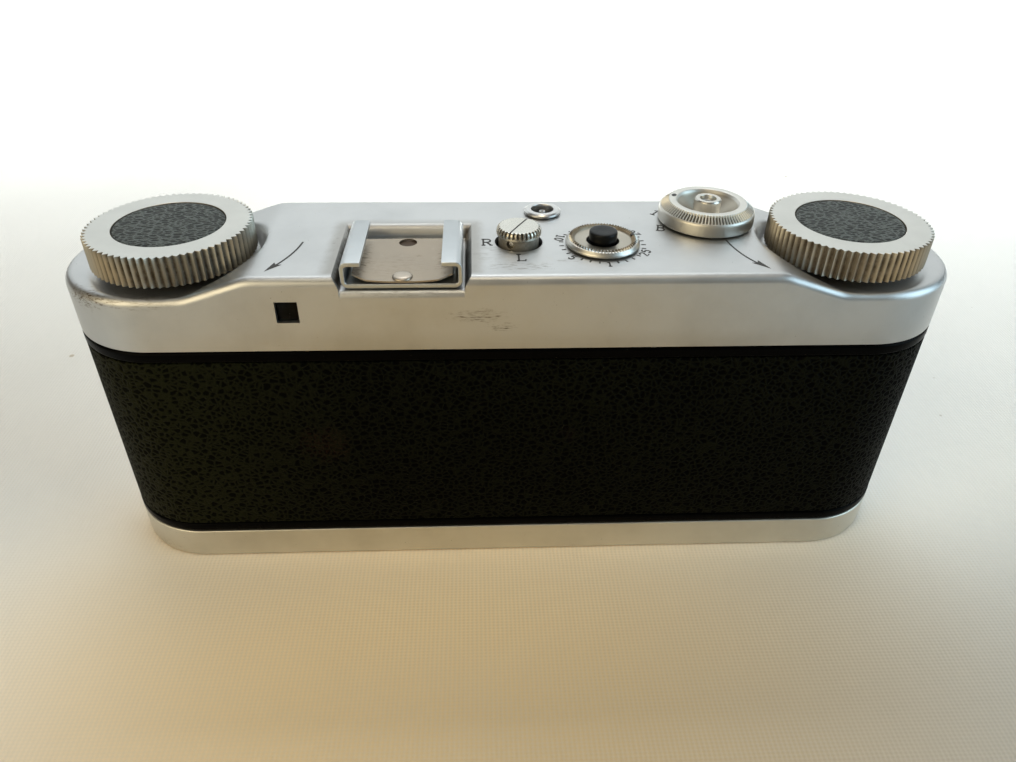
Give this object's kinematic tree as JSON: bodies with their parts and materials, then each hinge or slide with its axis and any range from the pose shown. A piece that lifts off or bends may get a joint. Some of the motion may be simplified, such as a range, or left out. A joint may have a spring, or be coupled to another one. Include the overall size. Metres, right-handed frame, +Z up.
{
  "type": "stereo camera",
  "caption": "Twin-lens film stereo camera with toothed wind and rewind knobs, speed dial, frame counter, accessory shoe and removable base.",
  "frame": {"origin": "centre of the base cover's flat underside, in the middle of the body's plan", "axes": "+Z up through the top controls, +X along the body towards the rewind knob at the user's left hand, -Y the way the two lenses look"},
  "size_m": [0.16, 0.0462, 0.0685],
  "materials": {
    "satin_chrome": "satin chrome plate on brass, fine matte grain, worn along the edges",
    "bright_chrome": "polished chrome plate",
    "black_enamel": "gloss black enamel",
    "leather": "black pebble-grain leather, greenish where it is worn",
    "blackened_metal": "matte black anti-reflection paint",
    "steel": "turned and ground steel",
    "brass": "plain turned brass",
    "glass": "polished optical glass",
    "ebonite": "smooth black hard rubber",
    "insulator": "pressed fibre insulator"
  },
  "bodies": {
    "camera_body": {"top_cover": "satin_chrome", "lens_panel": "satin_chrome", "lens_barrel_left": "satin_chrome", "lens_barrel_right": "satin_chrome", "sync_collar": "satin_chrome", "accessory_shoe": "satin_chrome", "panel_screw_1": "bright_chrome", "panel_screw_2": "bright_chrome", "panel_screw_3": "bright_chrome", "panel_screw_4": "bright_chrome", "finder_bezel": "bright_chrome", "body_shell": "black_enamel", "body_leather": "leather", "film_gate": "blackened_metal", "light_tunnel_left": "blackened_metal", "light_tunnel_right": "blackened_metal", "pressure_plate": "blackened_metal", "iris_left": "blackened_metal", "iris_right": "blackened_metal", "shutter_blades_left": "blackened_metal", "shutter_blades_right": "blackened_metal", "finder_tube": "blackened_metal", "pressure_spring": "steel", "shoe_spring": "steel", "shoe_rivet": "steel", "wind_bearing": "brass", "rewind_bearing": "brass", "sync_pin": "brass", "front_glass_left": "glass", "front_glass_right": "glass", "rear_glass_left": "glass", "rear_glass_right": "glass", "finder_eye_glass": "glass", "finder_front_glass": "glass", "sync_insulator": "insulator"},
    "base_plate": {"bottom_cover": "satin_chrome", "tripod_bush": "steel"},
    "lock": {"base_lock_key": "bright_chrome", "base_lock_bar": "steel"},
    "wind": {"wind_knob": "satin_chrome", "wind_knob_inset": "leather", "wind_shaft": "steel", "wind_gear": "brass", "takeup_spool": "blackened_metal"},
    "film_sprocket": {"sprocket": "steel", "sprocket_gear": "brass"},
    "rewind": {"rewind_knob": "satin_chrome", "rewind_knob_inset": "leather", "rewind_shaft": "steel"},
    "dial": {"speed_dial": "satin_chrome", "dial_post": "bright_chrome", "dial_post_screw": "steel"},
    "counter": {"counter_ring": "satin_chrome"},
    "release": {"release_button": "ebonite"},
    "selector": {"selector_knob": "bright_chrome", "selector_screw": "steel"},
    "focus_left": {"focus_ring_left": "satin_chrome"},
    "focus_right": {"focus_ring_right": "satin_chrome"},
    "aperture_left": {"aperture_ring_left": "bright_chrome"},
    "aperture_right": {"aperture_ring_right": "bright_chrome"}
  },
  "joints": [
    {"name": "base_drop", "type": "slide", "parent": "camera_body", "child": "base_plate", "axis": [0, 0, -1], "range_m": [0, 0.012]},
    {"name": "lock_turn", "type": "hinge", "parent": "base_plate", "child": "lock", "pos_m": [0.0605, 0, 0], "axis": [0, 0, 1], "range_deg": [0, 90]},
    {"name": "wind_turn", "type": "hinge", "parent": "camera_body", "child": "wind", "pos_m": [-0.0605, 0.00157, 0], "axis": [0, 0, 1], "continuous": true},
    {"name": "sprocket_turn", "type": "hinge", "parent": "camera_body", "child": "film_sprocket", "pos_m": [-0.04881, 0.00564, 0], "axis": [0, 0, 1], "continuous": true},
    {"name": "rewind_turn", "type": "hinge", "parent": "camera_body", "child": "rewind", "pos_m": [0.0605, 0.00157, 0], "axis": [0, 0, 1], "continuous": true},
    {"name": "dial_turn", "type": "hinge", "parent": "camera_body", "child": "dial", "pos_m": [-0.0364, -0.00625, 0], "axis": [0, 0, 1], "range_deg": [-132, 44]},
    {"name": "counter_turn", "type": "hinge", "parent": "camera_body", "child": "counter", "pos_m": [-0.0154, 0.0041, 0], "axis": [0, 0, 1], "continuous": true},
    {"name": "release_press", "type": "slide", "parent": "camera_body", "child": "release", "axis": [0, 0, -1], "range_m": [0, 0.0012], "stiffness_N_per_m": 800, "springref_m": -0.001},
    {"name": "selector_turn", "type": "hinge", "parent": "camera_body", "child": "selector", "pos_m": [-0.00054, 0.00266, 0], "axis": [0, 0, 1], "range_deg": [-58, 29.4]},
    {"name": "focus_left_turn", "type": "hinge", "parent": "camera_body", "child": "focus_left", "pos_m": [0.031, 0, 0.0282], "axis": [0, -1, 0], "range_deg": [0, 150]},
    {"name": "focus_right_turn", "type": "hinge", "parent": "camera_body", "child": "focus_right", "pos_m": [-0.031, 0, 0.0282], "axis": [0, -1, 0], "range_deg": [0, 150]},
    {"name": "aperture_left_turn", "type": "hinge", "parent": "camera_body", "child": "aperture_left", "pos_m": [0.031, 0, 0.0282], "axis": [0, -1, 0], "range_deg": [0, 80]},
    {"name": "aperture_right_turn", "type": "hinge", "parent": "camera_body", "child": "aperture_right", "pos_m": [-0.031, 0, 0.0282], "axis": [0, -1, 0], "range_deg": [0, 80]}
  ],
  "couplings": [
    {"joint": "sprocket_turn", "follows": "wind_turn", "ratio": -1.2},
    {"joint": "counter_turn", "follows": "wind_turn", "ratio": 0.034483},
    {"joint": "focus_right_turn", "follows": "focus_left_turn", "ratio": 1},
    {"joint": "aperture_right_turn", "follows": "aperture_left_turn", "ratio": 1}
  ]
}
